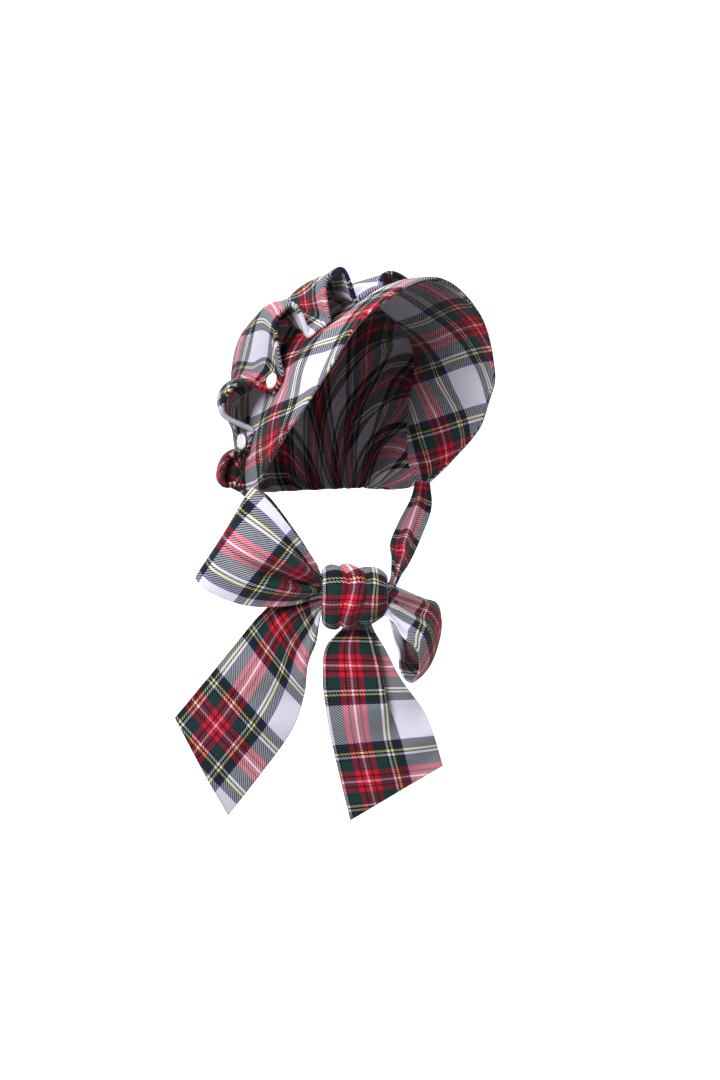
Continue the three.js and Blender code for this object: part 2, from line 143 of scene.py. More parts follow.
# tartan: half a sett from the middle of the white block to the white line in the middle of the red
tartan = dict(
    stripes=[("white", 15.2), ("navy", 2.6), ("black", 4.8), ("yellow", 1.7), ("black", 1.3), ("white", 1.9),
             ("black", 1.3), ("green", 8.4), ("red", 3.6), ("black", 1.5), ("red", 2.6), ("white", 0.85)],
    dyes=dict(white=dye(234, 232, 249), navy=dye(24, 28, 88), black=dye(13, 12, 17),
              yellow=dye(236, 231, 152), green=dye(18, 51, 50), red=dye(214, 20, 50)),
    thread=0.58,      # twill thread, warp and weft alike
    showAndShade=0.48,       # pale floats pulled towards the darker thread: partly the dark thread showing past narrow floats, partly painted shade between threads
    shade=0.10,       # how much darker the cloth is in its slubs
    relief=0.00016,   # height of a thread, in metres
)
halfSett = sum(width for name, width in tartan["stripes"])


def tartanCloth(name, sheen, rough):
    material = bpy.data.materials.new(name)
    material.use_nodes = True
    tree = material.node_tree
    tree.nodes.clear()
    cloth = Wire(tree)
    flatPlace = cloth.node("ShaderNodeUVMap", dict(uv_map="clothMap"))
    warpPlace = cloth.node("ShaderNodeSeparateXYZ", {}, {0: flatPlace})
    weftPlace = warpPlace.also(1)

    ends = np.cumsum([0] + [width for colour, width in tartan["stripes"]])[:-1] / halfSett
    stops = [(end, tartan["dyes"][colour]) for end, (colour, width) in zip(ends, tartan["stripes"])]

    def threadColour(place):  # the sett goes up and comes back, turning on its two white stripes
        fold = cloth.sum("PINGPONG", place, halfSett)
        return cloth.node("ShaderNodeValToRGB", dict(stops=stops), {0: fold / halfSett})

    # two over, two under, stepping one thread each row
    thread = tartan["thread"]
    warpThread, weftThread = warpPlace / thread, weftPlace / thread
    warpOnTop = ((warpThread.floor() - weftThread.floor()) % 4) < 2
    warpColour, weftColour = threadColour(warpPlace), threadColour(weftPlace)
    onTop = cloth.blend("MIX", warpOnTop, weftColour, warpColour)
    below = cloth.blend("MIX", warpOnTop, warpColour, weftColour)
    # painted shade between threads, with the darker thread showing past the pale floats: each float is pulled
    # part way to the darker of the two threads
    colour = cloth.blend("DARKEN", tartan["showAndShade"], onTop, below)

    # slubs and a little dust of the yarn
    solidPlace = cloth.node("ShaderNodeTexCoord", out=3)
    slub = cloth.node("ShaderNodeTexNoise", {},
                      {"Vector": solidPlace, "Scale": 260, "Detail": 3, "Roughness": 0.6})
    tone = 1 - tartan["shade"] * slub
    grey = cloth.node("ShaderNodeCombineColor", {}, {0: tone, 1: tone, 2: tone})
    colour = cloth.blend("MULTIPLY", 1.0, colour, grey)

    # round threads: the one on top gives the height
    warpRound = (warpThread * math.pi).sine().size()
    weftRound = (weftThread * math.pi).sine().size()
    height = warpOnTop * warpRound + (1 - warpOnTop) * weftRound + 0.8 * slub
    bump = cloth.node("ShaderNodeBump", {}, {"Height": height, "Strength": 0.5, "Distance": tartan["relief"]})

    finish = cloth.node("ShaderNodeBsdfPrincipled", {}, {
        "Base Color": colour, "Roughness": rough + 0.1 * slub, "Normal": bump,
        "Sheen Weight": sheen, "Sheen Roughness": 0.45, "Specular IOR Level": 0.25})
    cloth.node("ShaderNodeOutputMaterial", {}, {0: finish})
    return material


brimTartan = tartanCloth("brimTartan", 0.04, 0.8)
crownTartan = tartanCloth("crownTartan", 0.05, 0.82)
tieTartan = tartanCloth("tieTartan", 0.05, 0.8)
print("tartan woven:", round(2 * halfSett, 1), "mm a repeat")


# small tools for tables and grids
def along(rows, at):  # smooth curve through a table's rows; the first column is the place
    rows = np.asarray(rows, float)
    at = np.asarray(at, float)
    place, values = rows[:, 0], rows[:, 1:]
    index = np.arange(len(place))
    before, after = np.maximum(index - 1, 0), np.minimum(index + 1, len(place) - 1)
    slope = (values[after] - values[before]) / (place[after] - place[before])[:, None]
    i = np.clip(np.searchsorted(place, at.ravel(), side="left") - 1, 0, len(place) - 2)
    span = (place[i + 1] - place[i])[:, None]
    t = np.clip((at.ravel() - place[i])[:, None] / span, 0, 1)
    curve = ((2 * t**3 - 3 * t**2 + 1) * values[i] + (t**3 - 2 * t**2 + t) * span * slope[i]
             + (3 * t**2 - 2 * t**3) * values[i + 1] + (t**3 - t**2) * span * slope[i + 1])
    return curve.reshape(at.shape + (values.shape[1],))


def smoothStep(value, low, high):
    t = np.clip((value - low) / (high - low), 0, 1)
    return t * t * (3 - 2 * t)


def bell(distance, foot):  # height 1 in the middle, 0 at half its foot
    return np.cos(math.pi / 2 * np.minimum(np.abs(distance) / (foot / 2), 1)) ** 2


def unit(vectors):
    return vectors / np.linalg.norm(vectors, axis=-1, keepdims=True)


def runLength(points, axis):  # length run along a grid of points
    steps = np.linalg.norm(np.diff(points, axis=axis), axis=-1)
    start = np.zeros_like(np.take(steps, [0], axis=axis))
    return np.concatenate([start, np.cumsum(steps, axis=axis)], axis=axis)


def roundEdge(distance, radius):  # half thickness near a rounded edge
    inside = radius - np.clip(distance, 0, radius)
    return np.sqrt(np.maximum(radius**2 - inside**2, 0)) + 0.02


def unrolled(hem, edge):  # ruled strip laid flat, keeping the lengths of both edges, rulings and diagonals
    def corner(first, second, toFirst, toSecond):
        span = second - first
        length = np.hypot(*span)
        run = (toFirst**2 - toSecond**2 + length**2) / (2 * length)
        side = math.sqrt(max(toFirst**2 - run**2, 0))
        return first + span / length * run + np.array([span[1], -span[0]]) / length * side

    far = lambda a, b: np.linalg.norm(a - b)
    flatHem, flatEdge = [np.zeros(2)], [np.array([0, far(hem[0], edge[0])])]
    for i in range(1, len(hem)):
        flatHem.append(corner(flatHem[-1], flatEdge[-1], far(hem[i], hem[i - 1]), far(hem[i], edge[i - 1])))
        flatEdge.append(corner(flatHem[-1], flatEdge[-1], far(edge[i], hem[i]), far(edge[i], edge[i - 1])))
    flatHem, flatEdge = np.array(flatHem), np.array(flatEdge)
    middle = len(hem) // 2
    across = unit(flatEdge[middle] - flatHem[middle])
    turned = np.array([[across[1], -across[0]], across]).T
    return (flatHem - flatHem[middle]) @ turned, (flatEdge - flatHem[middle]) @ turned


def gridNormals(grid):
    return unit(np.cross(np.gradient(grid, axis=0), np.gradient(grid, axis=1)))


# closed cloth from a grid of its middle surface; clothPlace has sett millimetres for face and reverse
def clothSolid(name, grid, half, clothPlace, material):
    columns, rows = grid.shape[:2]
    normal = gridNormals(grid)
    half = np.broadcast_to(half, grid.shape[:2])[..., None]
    points = np.concatenate([grid + normal * half, grid - normal * half]).reshape(-1, 3) * mm
    flat = np.concatenate(clothPlace).reshape(-1, 2)

    index = np.arange(columns * rows).reshape(columns, rows)
    under = index + columns * rows
    face = np.stack([index[:-1, :-1], index[1:, :-1], index[1:, 1:], index[:-1, 1:]], -1).reshape(-1, 4)
    reverse = np.stack([under[:-1, :-1], under[:-1, 1:], under[1:, 1:], under[1:, :-1]], -1).reshape(-1, 4)
    start = np.stack([index[1:, 0], index[:-1, 0], under[:-1, 0], under[1:, 0]], -1)
    end = np.stack([index[:-1, -1], index[1:, -1], under[1:, -1], under[:-1, -1]], -1)
    first = np.stack([index[0, :-1], index[0, 1:], under[0, 1:], under[0, :-1]], -1)
    last = np.stack([index[-1, 1:], index[-1, :-1], under[-1, :-1], under[-1, 1:]], -1)
    faces = np.concatenate([face, reverse, start, end, first, last])

    mesh = bpy.data.meshes.new(name)
    mesh.from_pydata(points.tolist(), [], faces.tolist())
    cloth = mesh.uv_layers.new(name="clothMap")
    cloth.data.foreach_set("uv", flat[faces.ravel()].astype(np.float32).ravel())
    mesh.polygons.foreach_set("use_smooth", np.ones(len(faces), bool))
    mesh.materials.append(material)
    mesh.update()
    piece = bpy.data.objects.new(name, mesh)
    bpy.context.scene.collection.objects.link(piece)
    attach(piece, "root")
    return piece


# brim: stations down the wearer's left side, mirrored to the right
# arc, hemX, hemY, hemZ, edgeX, edgeY, edgeZ, tuck
brim = dict(
    stations=[(0, 0, -45, 14, 0, -105, 23, 20),
              (43, 38, -45, -5, 52, -94, -3, 20),
              (83, 66, -25, -33, 79, -79, -48, 18),
              (108, 73, -17, -57, 86, -63, -71, 16),
              (132, 79, 2, -80, 91, -45, -92, 14),
              (170, 80, 19, -118, 87, -15, -118, 6),
              (186, 80, 22, -134, 81, 4, -134, 1)],
    spring=3.5,
    heartZ=-90,
    wall=2.6,
    edgeWall=3.2,
    reach=186,
    columns=260,
    rows=70,
    outside=(-103.3, -11.8),  # sett place of the hem's top middle, on the face
    inside=(113.2, 13.3),     # and on the reverse
    edgeEase=11,              # cloth eased in at the front edge of the face
    tuckShow=1.5,             # the reverse runs on under the crown
    flat=(351, 158), area=31300, held="stretched",  # a crescent
)
mirrorSide = np.array([-1, -1, 1, 1, -1, 1, 1, 1])
brimRows = np.concatenate([np.array(brim["stations"][:0:-1]) * mirrorSide, np.array(brim["stations"])])


def brimAt(arc, depth):  # depth 0 on the crown's hem line, 1 on the front edge, -1 on the tucked edge
    arc, depth = np.broadcast_arrays(np.asarray(arc, float), np.asarray(depth, float))
    value = along(brimRows, arc)
    hem, edge, tuck = value[..., 0:3], value[..., 3:6], value[..., 6]
    ruling = edge - hem
    outward = unit(np.stack([hem[..., 0], 0 * hem[..., 0], hem[..., 2] - brim["heartZ"]], -1))
    spring = 4 * brim["spring"] * depth * (1 - depth)
    front = hem + ruling * depth[..., None] + outward * spring[..., None]
    tucked = hem + unit(ruling) * (depth * tuck * brim["tuckShow"])[..., None]
    return np.where(depth[..., None] < 0, tucked, front)


def brimCloth():
    arc = np.linspace(brim["reach"], -brim["reach"], brim["columns"])[:, None]
    tuckedRows = np.linspace(-1, 0, 14)[:-1]
    frontRows = np.sin(np.linspace(0, math.pi / 2, brim["rows"]))
    depth = np.concatenate([tuckedRows, frontRows])[None, :]
    grid = brimAt(arc, depth)
    across = runLength(grid, 1)
    fromEdge = across[:, -1:] - across
    fromHem = across - across[:, [len(tuckedRows)]]
    half = brim["wall"] / 2 + (brim["edgeWall"] - brim["wall"]) / 2 * smoothStep(-fromEdge, -9, -6)
    half = np.minimum(half, roundEdge(fromEdge, brim["edgeWall"] / 2))
    flatHem, flatEdge = unrolled(brimAt(arc[:, 0], 0), brimAt(arc[:, 0], 1))
    ruling = unit(flatEdge - flatHem)[:, None]
    eased = fromHem + brim["edgeEase"] * smoothStep(depth, 0.6, 1) ** 2
    faces = [flatHem[:, None] + ruling * eased[..., None] + np.array(brim["outside"]),
             flatHem[:, None] + ruling * fromHem[..., None] + np.array(brim["inside"])]
    return clothSolid("brimCloth", grid, half, faces, brimTartan)


# crown: arches from the hem back to the nape, on a hinge line through the lower corners
# back, tilt, height, halfWidth, square, footY, footZ
crown = dict(
    sections=[(0.0, -24, 166, 84, 2.4, 22, -134),
              (0.2, -2, 154, 84, 2.7, 24, -138),
              (0.34, 16, 150, 78, 2.7, 27, -141),
              (0.5, 37, 126, 69, 2.2, 32, -142),
              (0.72, 62, 82, 61, 2.0, 38, -142),
              (0.9, 82, 58, 58, 2.0, 44, -142),
              (1.0, 94, 46, 56, 2.0, 47, -141)],
    # arc, foot, out, up, fade, round, belly: right side first
    puffs=[(-170, 22, 19, -3, 0.32, 2.4, 5.5),
           (-129, 27, 30, 12, 0.46, 3.0, 5.6),
           (-85, 31, 9, 31, 0.55, 2.7, 3.8),
           (-40, 25, 9, 28, 0.26, 3.4, 2.6),
           (18, 40, 0, 13, 0.25, 2.4, 3.2),
           (54, 28, 8, 18, 0.25, 2.6, 3.2),
           (90, 29, 18, 20, 0.5, 2.6, 3.6),
           (129, 27, 28, 9, 0.42, 2.8, 5),
           (170, 22, 19, -3, 0.32, 2.4, 5)],
    length=240,
    slope=0.16,
    seatStart=0.02,
    seatReach=0.2,
    widening=0.9,
    gathers=12,
    gatherDepth=2.6,
    gatherStart=0.6,
    wall=1.8,
    hem=4.0,
    hemDepth=5.0,
    seatGap=0.3,
    columns=420,
    rows=92,
    # arc, turn of the hem on the thread, in degrees
    grain=[(-186, 55), (-150, 55), (-129, 39.5), (-107, 31), (-85, 21), (-64, 5.5), (-43, -9.5), (0, -2),
           (186, -50)],
    shift=(95.3, -18.9),  # sett place of the hem's top middle
    # arc, cloth drawn along and across the hem where it is pulled into a puff, and drawn in behind it
    drawn=[(-186, 0, 0, 0), (-104, 0, 0, 0), (-94, 10, 0, 2), (-84, 24, 2, 8), (-64, 38, 5, 22),
           (-53, 40, 4, 22), (-42, 34, -4, 18), (-30, 16, -2, 8), (-20, 12, 0, 0), (186, 12, 0, 0)],
    flat=(768, 283), area=72700, held="gathered",  # hem by depth at the top, narrow at the corners
)


def crownAt(arc, back):
    arc, back = np.broadcast_arrays(np.asarray(arc, float), np.asarray(back, float))
    tilt, height, halfWidth, square, footY, footZ = np.moveaxis(along(crown["sections"], back), -1, 0)
    front = crown["sections"][0]
    hem = brimAt(arc, 0)
    rise = np.hypot(hem[..., 1] - front[5], hem[..., 2] - front[6]) / front[2]
    angle = np.arctan2(rise, np.abs(hem[..., 0]) / front[3])
    reach = (np.cos(angle) ** square + np.sin(angle) ** square) ** (-1 / square)
    up = height * np.sin(angle) * reach
    lean = np.radians(tilt)
    arch = np.stack([np.sign(arc) * halfWidth * np.cos(angle) * reach,
                     footY + up * np.sin(lean), footZ + up * np.cos(lean)], -1)

    # the hem lies on the brim and lets go of it a little way back
    run = crown["length"] * back
    lift = brim["wall"] / 2 + crown["seatGap"] + crown["hem"] / 2 + crown["slope"] * run
    alongHem = unit(brimAt(arc + 0.5, 0) - brimAt(arc - 0.5, 0))
    outward = -unit(np.cross(alongHem, brimAt(arc, 0.02) - hem))
    backward = unit(hem - brimAt(arc, 1))
    seat = hem + backward * run[..., None] + outward * lift[..., None]
    share = smoothStep(back, crown["seatStart"], crown["seatReach"])[..., None]
    point = seat * (1 - share) + arch * share

    side = np.sign(arc)
    for puffArc, foot, out, raised, fade, roundness, bellied in crown["puffs"]:
        dying = 1 - smoothStep(back, 0, fade)
        wide = foot * (1 + crown["widening"] * back)
        offset = arc - puffArc
        halfWay = np.minimum(np.abs(offset) / (wide / 2), 1)
        mouth = 1 - smoothStep(back, 0, 0.2)  # an arch at the hem that softens to a fold behind it
        ridge = (bell(offset, wide) * (1 - mouth) + (1 - halfWay**roundness) ** 0.9 * mouth) * dying
        belly = bellied * np.sign(offset) * np.sin(math.pi * halfWay) * dying
        point[..., 0] += side * out * ridge
        point[..., 2] += raised * ridge
        point += alongHem * belly[..., None]

    gather = smoothStep(back, crown["gatherStart"], 1)
    wave = np.cos(math.pi * crown["gathers"] * arc / brim["reach"])
    inward = unit(np.stack([point[..., 0], point[..., 1] - front[5], 0 * arc], -1))
    return point + inward * (crown["gatherDepth"] * gather * wave)[..., None]


def crownCloth():
    arc = crownColumns()[:, None]
    hemRows = np.array([0, 0.1, 0.3, 0.7, 1.2, 1.9, 2.8, 3.8, 4.6, 5.2, 5.8, 6.6, 8, 10]) / crown["length"]
    backRows = np.linspace(hemRows[-1], 1, crown["rows"])[1:]
    back = np.concatenate([hemRows, backRows])[None, :]
    grid = crownAt(arc, back)
    fromHem = runLength(grid, 1)
    bead = 1 - smoothStep(fromHem, crown["hemDepth"], crown["hemDepth"] + 2)
    half = (crown["wall"] + (crown["hem"] - crown["wall"]) * bead) / 2
    half = np.minimum(half, roundEdge(fromHem, crown["hem"] / 2))
    place = crownPlace(arc, grid, fromHem)
    return clothSolid("crownCloth", grid, half, [place, place], crownTartan)


def crownColumns():  # columns even along the puffed hem
    trial = np.linspace(-brim["reach"], brim["reach"], 4000)
    run = runLength(crownAt(trial, 0.0)[:, None], 0)[:, 0]
    return np.interp(np.linspace(0, run[-1], crown["columns"]), run, trial)


# the cut piece: its hem curves on the thread, and its depth is square to the hem
def crownPlace(arc, grid, fromHem):
    turn = np.radians(along(crown["grain"], arc[:, 0])[:, 0])
    heading = np.stack([np.cos(turn), np.sin(turn)], -1)
    inward = np.stack([-np.sin(turn), np.cos(turn)], -1)
    step = np.diff(runLength(grid[:, :1], 0)[:, 0], prepend=0)
    hem = np.cumsum(heading * step[:, None], axis=0)
    hem = hem - hem[np.argmin(np.abs(arc[:, 0]))]
    place = (hem + np.array(crown["shift"]))[:, None] + inward[:, None] * fromHem[..., None]
    drawn = along(crown["drawn"], arc[:, 0])[:, None]
    behind = smoothStep(fromHem, 6, 40)[..., None]
    drawn = drawn[..., :2] + inward[:, None] * drawn[..., 2:] * behind
    return place + drawn * (1 - smoothStep(fromHem, 45, 130))[..., None]  # let out again over the back


# the bow stands below the brim, turned to the wearer's right; its tables hold right, up and front
bow = dict(place=(-26, -43, -215), turn=-36, wall=1.8, ripple=0.9, rippleLength=46)


def bowAt(right, up, front):
    turn = math.radians(bow["turn"])
    x, y = right, -front
    return np.stack([x * math.cos(turn) - y * math.sin(turn) + bow["place"][0],
                     x * math.sin(turn) + y * math.cos(turn) + bow["place"][1], up + bow["place"][2]], -1)


# knot: a band round the right-left axis; right, upRadius, frontRadius
knot = dict(
    folds=[(-25, 17.5, 10.5), (-24, 20.5, 13.6), (-21.5, 23.4, 16.4), (-17, 24.8, 17.4), (-12, 24.0, 16.4),
           (-9, 22.0, 14.0), (-7.5, 23.4, 16.4), (-3, 25.2, 19.4), (1, 24.2, 18.2), (4, 22.0, 15.2),
           (6, 22.2, 15.6), (11, 23.0, 17.2), (16, 22.0, 16.6), (21, 19.0, 14.4), (23.4, 16.0, 11.6),
           (24, 14.0, 9.6)],
    wall=2.6,
    squeeze=0.92,     # cloth drawn together in the band
    redRight=-5,
    redUp=-4,
    bow=5,            # the folds bow to the wearer's left on the front
    wrinkle=0.45,
    twist=3.5,        # the folds lean over from top to bottom
    cutAway=4.5,      # the lower corner on the wearer's left is pulled in
    flat=(76, 122), held="folded",
)


def knotCloth():
    turn = np.linspace(math.pi, -math.pi, 200)[:, None] * 0.9985
    right = np.linspace(knot["folds"][0][0], knot["folds"][-1][0], 120)[None, :]
    upRadius, frontRadius = np.moveaxis(along(knot["folds"], right), -1, 0)
    crumple = knot["wrinkle"] * (np.sin(3 * turn + 0.5 * right) + np.sin(7 * turn - 0.31 * right + 1))
    swell = crumple * bell(right, 60) - knot["wall"] / 2
    swell = swell - knot["cutAway"] * np.maximum(-np.sin(turn), 0) * smoothStep(right, 2, 24)
    leaning = knot["bow"] * (np.cos(turn) - 0.45) + knot["twist"] * np.sin(2 * turn)
    bent = right + leaning * bell(right + 2, 46)
    grid = bowAt(bent, (upRadius + swell) * np.sin(turn), (frontRadius + swell) * np.cos(turn))
    run = runLength(grid[:, 60:61], 0) / knot["squeeze"] + 0 * right
    middle = run[len(turn) // 2]
    fromEnd = np.minimum(right - right[0, 0], right[0, -1] - right)
    half = np.minimum(knot["wall"] / 2, roundEdge(fromEnd, knot["wall"] / 2))
    place = np.stack([(right - knot["redRight"]) / knot["squeeze"] + 0 * turn + halfSett,
                      run - middle + knot["redUp"] + halfSett], -1)
    return clothSolid("knotCloth", grid, half, [place, place], tieTartan)


# strips of the bow and ties, one row a section:
# aRight, aUp, aFront, bRight, bUp, bFront, swell, crease or lap
loopRight = dict(
    rows=[(-14, 11, 5.6, -14, -5, 6.4, 0, 0), (-26, 18, 5.6, -26, 0, 6.8, 1, 1),
          (-41, 43, 16, -50, -5, 18, 7, 13), (-58, 67, 19, -82, -4, 21, 9, 8),
          (-72, 81, 15, -110, 6, 17, 6, 1), (-77, 84, 7, -119, 15, 8, 0, 0),
          (-71, 80, 1, -108, 12, 1, -2, 0), (-56, 62, 0, -76, 6, 1, -2, 0),
          (-28, 17, 2.6, -28, 3, 3, 0, 0), (-14, 10, 2.8, -14, -5, 3.2, 0, 0)],
    creaseAt=0.62, creaseWidth=0.22, pleats=2.7, pleatDepth=4.2,
    width=76, redAcross=39, redAlong=39.8, skew=-24, flat=(76, 203), held="folded")
loopLeft = dict(
    rows=[(13, -9, 6.4, 13, 9, 5.6, 0, 0), (24, -15, 6.6, 25.5, 11, 4.6, 0, 0),
          (34, -30, 16, 53, -4, -36, 6, 3), (45, -39, 18, 64, -12, -46, 5, 0),
          (49, -53, 14, 66, -32, -54, 3, 0), (42, -63, 9, 61, -50, -58, 3, 0),
          (34, -54, 4, 48, -46, -58, 2, 0), (33, -36, 3, 40, -22, -44, 0, 0),
          (26, -10, 3.2, 26, 6, 1.4, 0, 0), (13, -7, 3.2, 13, 8, 2.4, 0, 0)],
    creaseAt=0.45, creaseWidth=0.4, pleats=2.6, pleatDepth=3.2,
    width=76, redAcross=50, redAlong=77.6, skew=-22, flat=(76, 178), held="folded")
tailRight = dict(
    rows=[(-14, 6, 0.7, -14, -9, 1, 0, 0), (-28, 2, 0.3, -26, -14, 0.8, 0, 0),
          (-53, 1, 1, -30, -34, 3, 4, 6), (-71, -12, 3, -36, -51, 5, 4, 4),
          (-92, -37, 5, -39, -76, 6, 4, 1), (-114, -64, 5, -52, -108, 4, 3, 0),
          (-137, -92, 3, -97, -168, 0, 2, 0)],
    creaseAt=0.62, creaseWidth=0.3, pleats=3.2, pleatDepth=3.0,
    width=76, redAcross=27, redAlong=54.1, skew=0, flat=(76, 169), held="hung")
tailLeft = dict(
    rows=[(-7, -9, -18.4, 9, -9, -17.8, 0, 0), (-10, -26, -17, 13, -24, -18, 0, 10),
          (-23, -41, -11, 23, -41, -13, 1, 22), (-25, -63, -7, 35, -64, -8, 2, 22),
          (-23, -83, -5, 52, -88, -7, 2, 8), (-17, -117, -5, 60, -107, -8, 2, 0),
          (-4, -173, -8, 67, -131, -10, 1, 0)],
    lapAt=0.62, lapWidth=0.12, lapDepth=8, pleats=3, pleatDepth=0.4,
    width=76, redAcross=20.5, redAlong=51.7, skew=0, flat=(76, 149), held="hung")
tieRight = dict(
    rows=[(-71.6, 79.4, -5, -82, 79.4, -20, 0, 0), (-63, 73, -4, -84, 62, -20, 2, 3),
          (-46, 50, -5, -70, 36, -17, 3, 4), (-34, 31, -6, -46, 14, -11, 2, 3),
          (-26, 13, -4.6, -27, -3, -5.4, 0, 0), (-14, 9, -4, -14, -8, -3.6, 0, 0)],
    creaseAt=0.5, creaseWidth=0.6, pleats=3, pleatDepth=0.6,
    width=30, redAcross=15, redAlong=0, skew=0, flat=(30, 105), held="hung")
tieLeft = dict(
    rows=[(59, 79.4, -100.6, 48, 79.4, -114.4, 0, 0), (60, 60, -86, 44, 66, -103, -2, 3),
          (51, 38, -64, 34, 50, -78, -3, 4), (42, 22, -40, 27, 36, -52, -3, 4),
          (35, 14, -20, 28, 27, -27, -1, 2), (26, 1, -6, 26, 11, -5.8, 0, 0),
          (13, -5, -4, 13, 9, -4.4, 0, 0)],
    creaseAt=0.5, creaseWidth=0.6, pleats=3, pleatDepth=0.6,
    width=30, redAcross=15, redAlong=0, skew=0, flat=(30, 145), held="hung")


def stripCloth(name, strip, columns=150, rows=44):
    table = np.column_stack([np.arange(len(strip["rows"])), strip["rows"]])
    section = np.linspace(0, len(strip["rows"]) - 1, columns)
    across = (0.5 - 0.5 * np.cos(np.linspace(0, math.pi, rows)))[None, :]

    def edges(at):
        value = along(table, np.clip(at, 0, len(table) - 1))
        return bowAt(*value[..., 0:3].T), bowAt(*value[..., 3:6].T), value[..., 6:8]

    edgeA, edgeB, fold = edges(section)
    aheadA, aheadB, _ = edges(section + 0.05)
    behindA, behindB, _ = edges(section - 0.05)
    ahead = aheadA + aheadB - behindA - behindB
    width = np.linalg.norm(edgeB - edgeA, axis=-1)
    widthwise = unit(edgeB - edgeA)
    normal = unit(np.cross(ahead, widthwise))
    place = width[:, None] * across
    rise = fold[:, :1] * np.sin(math.pi * across)
    if "lapAt" in strip:
        lap = np.maximum(fold[:, 1:], 0)
        low, high = strip["lapAt"] - strip["lapWidth"] / 2, strip["lapAt"] + strip["lapWidth"] / 2
        turned = smoothStep(across, low, high)
        place = place + lap * (across - turned)
        rise = rise + strip["lapDepth"] * np.minimum(lap / strip["lapDepth"], 1) * (0.5 - turned)
    else:
        rise = rise - fold[:, 1:] * bell(across - strip["creaseAt"], strip["creaseWidth"])

    runA, runB = runLength(edgeA[:, None], 0), runLength(edgeB[:, None], 0)
    run = (runA + runB)[:, 0] / 2
    if "loop" in name:
        fromKnot = np.minimum(run, run[-1] - run)
    else:
        fromKnot = run if "tail" in name else run[-1] - run
    pleated = smoothStep(fromKnot, 14, 24) * (1 - smoothStep(fromKnot, 28, 92))
    rise = rise + strip["pleatDepth"] * pleated[:, None] * np.cos(2 * math.pi * strip["pleats"] * across)
    loose = smoothStep(fromKnot, 26, 64)[:, None] * smoothStep(strip["width"], 30, 40)  # wide strips only
    wave = np.sin(2 * math.pi * run[:, None] / bow["rippleLength"] + 5 * across)
    rise = rise + bow["ripple"] * loose * wave

    grid = edgeA[:, None] + widthwise[:, None] * place[..., None] + normal[:, None] * rise[..., None]
    fromEdge = strip["width"] * np.minimum(across, 1 - across)
    half = np.minimum(bow["wall"] / 2, roundEdge(fromEdge, bow["wall"] / 2))
    clothU = strip["width"] * across - strip["redAcross"] + halfSett + 0 * run[:, None]
    clothV = runA * (1 - across) + runB * across - strip["redAlong"]
    clothV = clothV + strip["skew"] * (across - 0.5) + halfSett
    place = np.stack([clothU, clothV], -1)
    return clothSolid(name, grid, half, [place, place], tieTartan)


# snap caps: arc along the hem and the stud's lift
snaps = dict(
    arcs={"snap_right_low": -152.5, "snap_right_high": -108, "snap_left_high": 110, "snap_left_low": 152.5},
    diameter=12.4,
    height=2.6,
    lift=1.5,
    back=0.028,
    sides=56,
    profile=[(0.90, 0), (0.97, 0.10), (1.0, 0.30), (0.98, 0.52), (0.90, 0.74), (0.76, 0.88), (0.5, 0.96),
             (0.25, 0.99)],  # radius and height, as shares
)


def snapPlastic():
    material = bpy.data.materials.new("snapPlastic")
    material.use_nodes = True
    material.node_tree.nodes.clear()
    plastic = Wire(material.node_tree)
    solidPlace = plastic.node("ShaderNodeTexCoord", out=3)
    haze = plastic.node("ShaderNodeTexNoise", {}, {"Vector": solidPlace, "Scale": 900, "Detail": 2})
    white = plastic.blend("MIX", haze, (*dye(244, 243, 240), 1), (*dye(250, 249, 247), 1))
    finish = plastic.node("ShaderNodeBsdfPrincipled", {}, {
        "Base Color": white, "Roughness": 0.22 + 0.12 * haze, "IOR": 1.5})
    plastic.node("ShaderNodeOutputMaterial", {}, {0: finish})
    return material


def snapCap(name, arc, material):
    centre = crownAt(arc, snaps["back"])
    alongHem = crownAt(arc + 1, snaps["back"]) - crownAt(arc - 1, snaps["back"])
    backward = crownAt(arc, snaps["back"] + 0.01) - centre
    normal = unit(np.cross(alongHem, backward))
    centre = centre + normal * (crown["wall"] / 2 + crown["seatGap"] + snaps["lift"])
    sideways = unit(np.cross(normal, [0, 0, 1]))
    upward = np.cross(sideways, normal)
    turn = np.linspace(0, 2 * math.pi, snaps["sides"], endpoint=False)
    ring = np.cos(turn)[:, None] * sideways + np.sin(turn)[:, None] * upward
    points, faces = [], []
    for radius, height in snaps["profile"]:
        points.extend(centre + ring * radius * snaps["diameter"] / 2 + normal * height * snaps["height"])
    rings, sides = len(snaps["profile"]), snaps["sides"]
    for level in range(rings - 1):
        for i in range(sides):
            j = (i + 1) % sides
            lower, upper = level * sides, (level + 1) * sides
            faces.append((lower + i, lower + j, upper + j, upper + i))
    points.append(centre)
    points.append(centre + normal * snaps["height"])
    top = (rings - 1) * sides
    for i in range(sides):
        j = (i + 1) % sides
        faces.append((j, i, rings * sides))
        faces.append((top + i, top + j, rings * sides + 1))
    mesh = bpy.data.meshes.new(name)
    mesh.from_pydata((np.array(points) * mm).tolist(), [], faces)
    mesh.polygons.foreach_set("use_smooth", np.ones(len(faces), bool))
    mesh.materials.append(material)
    mesh.update()
    piece = bpy.data.objects.new(name, mesh)
    bpy.context.scene.collection.objects.link(piece)
    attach(piece, "root")
    return piece


def declared(piece, node, sheet):
    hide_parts(node)
    flat = tuple(side * mm for side in sheet["flat"])
    area = sheet["area"] * mm**2 if "area" in sheet else None


plastic = snapPlastic()
for node, arc in snaps["arcs"].items():
    cap = snapCap(node.replace("snap", "cap"), arc, plastic)
    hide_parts(node)
print("snaps pressed")

declared(brimCloth(), "brim", brim)
print("brim shaped")
declared(crownCloth(), "crown", crown)
print("crown puffed")

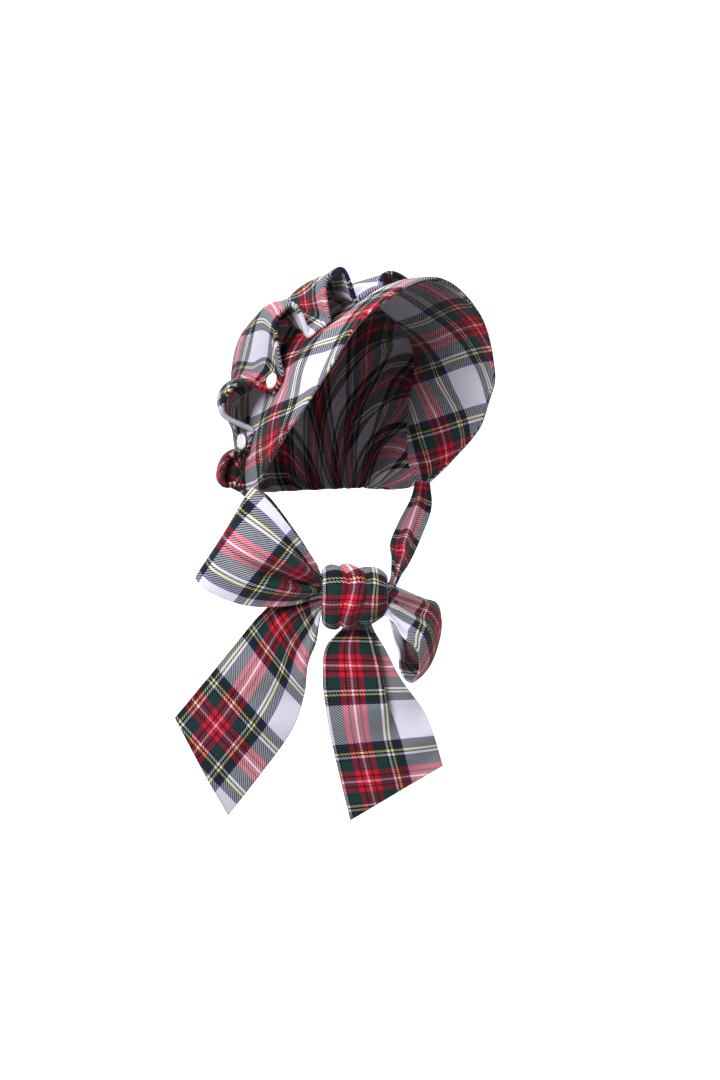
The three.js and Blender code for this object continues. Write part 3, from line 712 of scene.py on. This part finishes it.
strips = {"bow_loop_right": ("loopRightCloth", loopRight, ["knotCloth"]),
          "bow_loop_left": ("loopLeftCloth", loopLeft, ["knotCloth"]),
          "bow_tail_right": ("tailRightCloth", tailRight, ["knotCloth"]),
          "bow_tail_left": ("tailLeftCloth", tailLeft, ["knotCloth"]),
          "tie_right": ("tieRightCloth", tieRight, ["brimCloth"]),
          "tie_left": ("tieLeftCloth", tieLeft, ["brimCloth"])}
declared(knotCloth(), "bow_knot", knot)
for node, (name, strip, restsOn) in strips.items():
    declared(stripCloth(name, strip), node, strip)
print("bow tied")


# pale floor that sweeps up behind, and soft light
studio = dict(floorZ=-398, sweep=900, behind=1600, width=7000, front=2600, height=3200)


def studioFloor():
    turn = math.radians(view["azimuth"])
    profile = [(-studio["front"], 0)]
    steps = 24
    for i in range(steps + 1):
        a = math.pi / 2 * i / steps
        profile.append((studio["behind"] + studio["sweep"] * math.sin(a),
                        studio["sweep"] * (1 - math.cos(a))))
    profile.append((studio["behind"] + studio["sweep"], studio["height"]))
    points = []
    for far, up in profile:
        for side in (-studio["width"] / 2, studio["width"] / 2):
            points.append(((side * math.cos(turn) - far * math.sin(turn)) * mm,
                           (side * math.sin(turn) + far * math.cos(turn)) * mm, (up + studio["floorZ"]) * mm))
    faces = [(2 * i, 2 * i + 1, 2 * i + 3, 2 * i + 2) for i in range(len(profile) - 1)]
    mesh = bpy.data.meshes.new("studioFloor")
    mesh.from_pydata(points, [], faces)
    mesh.polygons.foreach_set("use_smooth", np.ones(len(faces), bool))
    material = bpy.data.materials.new("paleFloor")
    material.use_nodes = True
    finish = material.node_tree.nodes["Principled BSDF"]
    finish.inputs["Base Color"].default_value = (0.9, 0.9, 0.9, 1)
    finish.inputs["Roughness"].default_value = 0.9
    finish.inputs["Emission Color"].default_value = (1, 1, 1, 1)
    finish.inputs["Emission Strength"].default_value = 0.8
    mesh.materials.append(material)
    floor = bpy.data.objects.new("studioFloor", mesh)
    floor.visible_diffuse = False  # its glow stays out of the cloth's shadows
    bpy.context.scene.collection.objects.link(floor)


# name, azimuth and elevation as the camera's are given, distance, size, watts
lamps = [("keyLamp", -64, 24, 1900, 1000, 34), ("frontLamp", -40, 72, 2000, 1100, 24),
         ("leftLamp", 85, 22, 2100, 1300, 15), ("backLamp", 175, 20, 2100, 1300, 22)]


def softLight():
    for name, azimuth, elevation, distance, size, power in lamps:
        turn, rise = math.radians(azimuth), math.radians(elevation)
        back = Vector((math.sin(turn) * math.cos(rise), -math.cos(turn) * math.cos(rise), math.sin(rise)))
        lamp = bpy.data.lights.new(name, "AREA")
        lamp.shape = "DISK"
        lamp.size = size * mm
        lamp.energy = power
        holder = bpy.data.objects.new(name, lamp)
        holder.location = Vector((0, 0, view["height"] * mm)) + back * distance * mm
        holder.rotation_euler = (-back).to_track_quat("-Z", "Y").to_euler()
        bpy.context.scene.collection.objects.link(holder)
    world = bpy.data.worlds.new("softWorld")
    world.use_nodes = True
    world.node_tree.nodes["Background"].inputs[0].default_value = (1, 1, 1, 1)
    world.node_tree.nodes["Background"].inputs[1].default_value = 0.13
    bpy.context.scene.world = world
    bpy.context.scene.view_settings.view_transform = "Standard"


studioFloor()
softLight()
print("studio lit")
